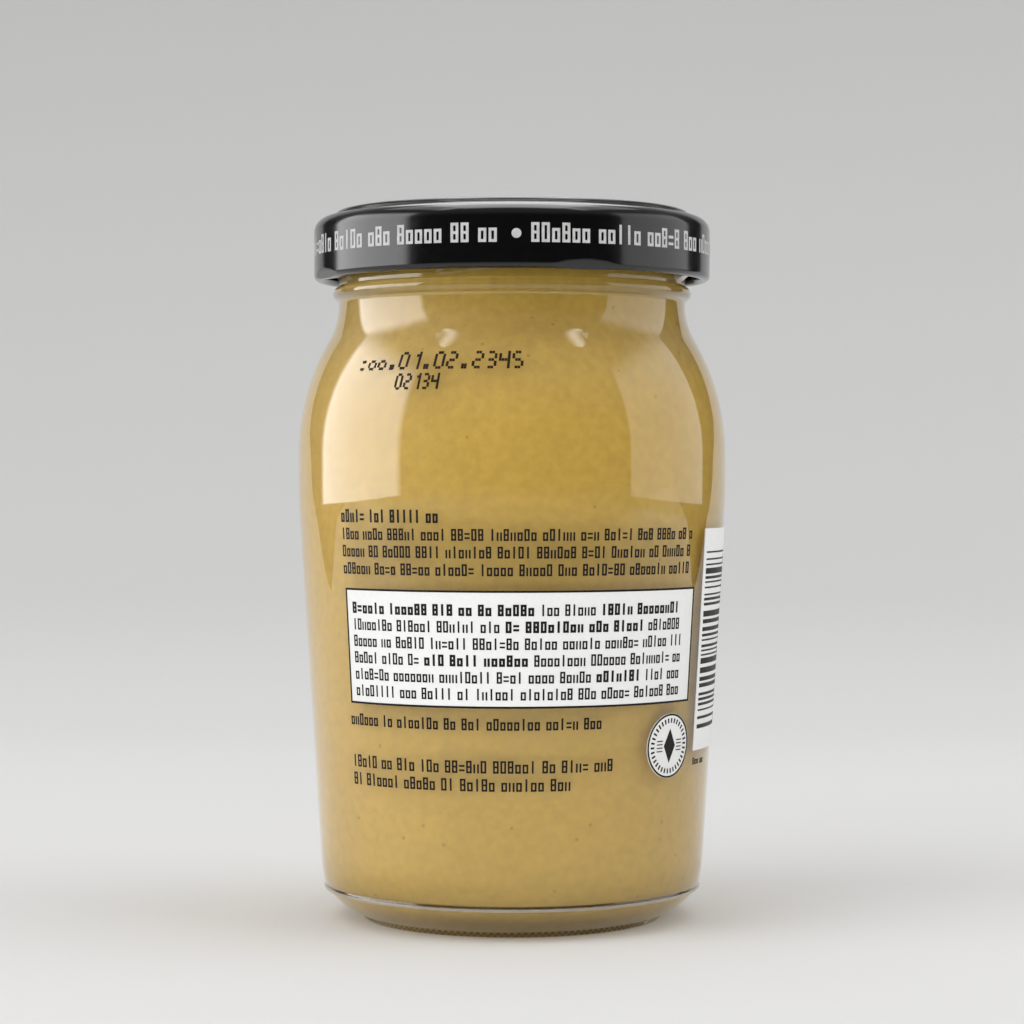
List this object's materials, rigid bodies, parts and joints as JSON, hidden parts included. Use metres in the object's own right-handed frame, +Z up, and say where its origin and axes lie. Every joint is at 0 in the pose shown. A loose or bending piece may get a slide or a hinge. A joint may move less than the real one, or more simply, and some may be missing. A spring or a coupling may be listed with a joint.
{
  "type": "mustard jar",
  "caption": "Closed glass jar of smooth yellow mustard with a black lug cap, printed panel, round mark and bar sticker.",
  "frame": {"origin": "centre of the bearing ring, on the ground", "axes": "+Z up the jar's axis, -Y towards the side with the printed panel, +X to its right"},
  "size_m": [0.065, 0.065, 0.107],
  "materials": {
    "jar_glass": "clear flint glass, glossy",
    "mustard": "smooth opaque paste, wetting the glass",
    "cap_lacquer": "black lacquered tinplate, gloss",
    "panel_print": "white printed field with a dark edge",
    "sticker_paper": "white coated paper sticker",
    "mark_print": "white printed disc with a dark ring",
    "black_ink": "black screen print and dark dot print on the glass",
    "white_ink": "white print round the cap's skirt"
  },
  "bodies": {
    "root": {"jar": "jar_glass", "mustard": "mustard", "cap": "cap_lacquer", "facts_panel": "panel_print", "bar_sticker": "sticker_paper", "round_mark": "mark_print"}
  },
  "joints": []
}
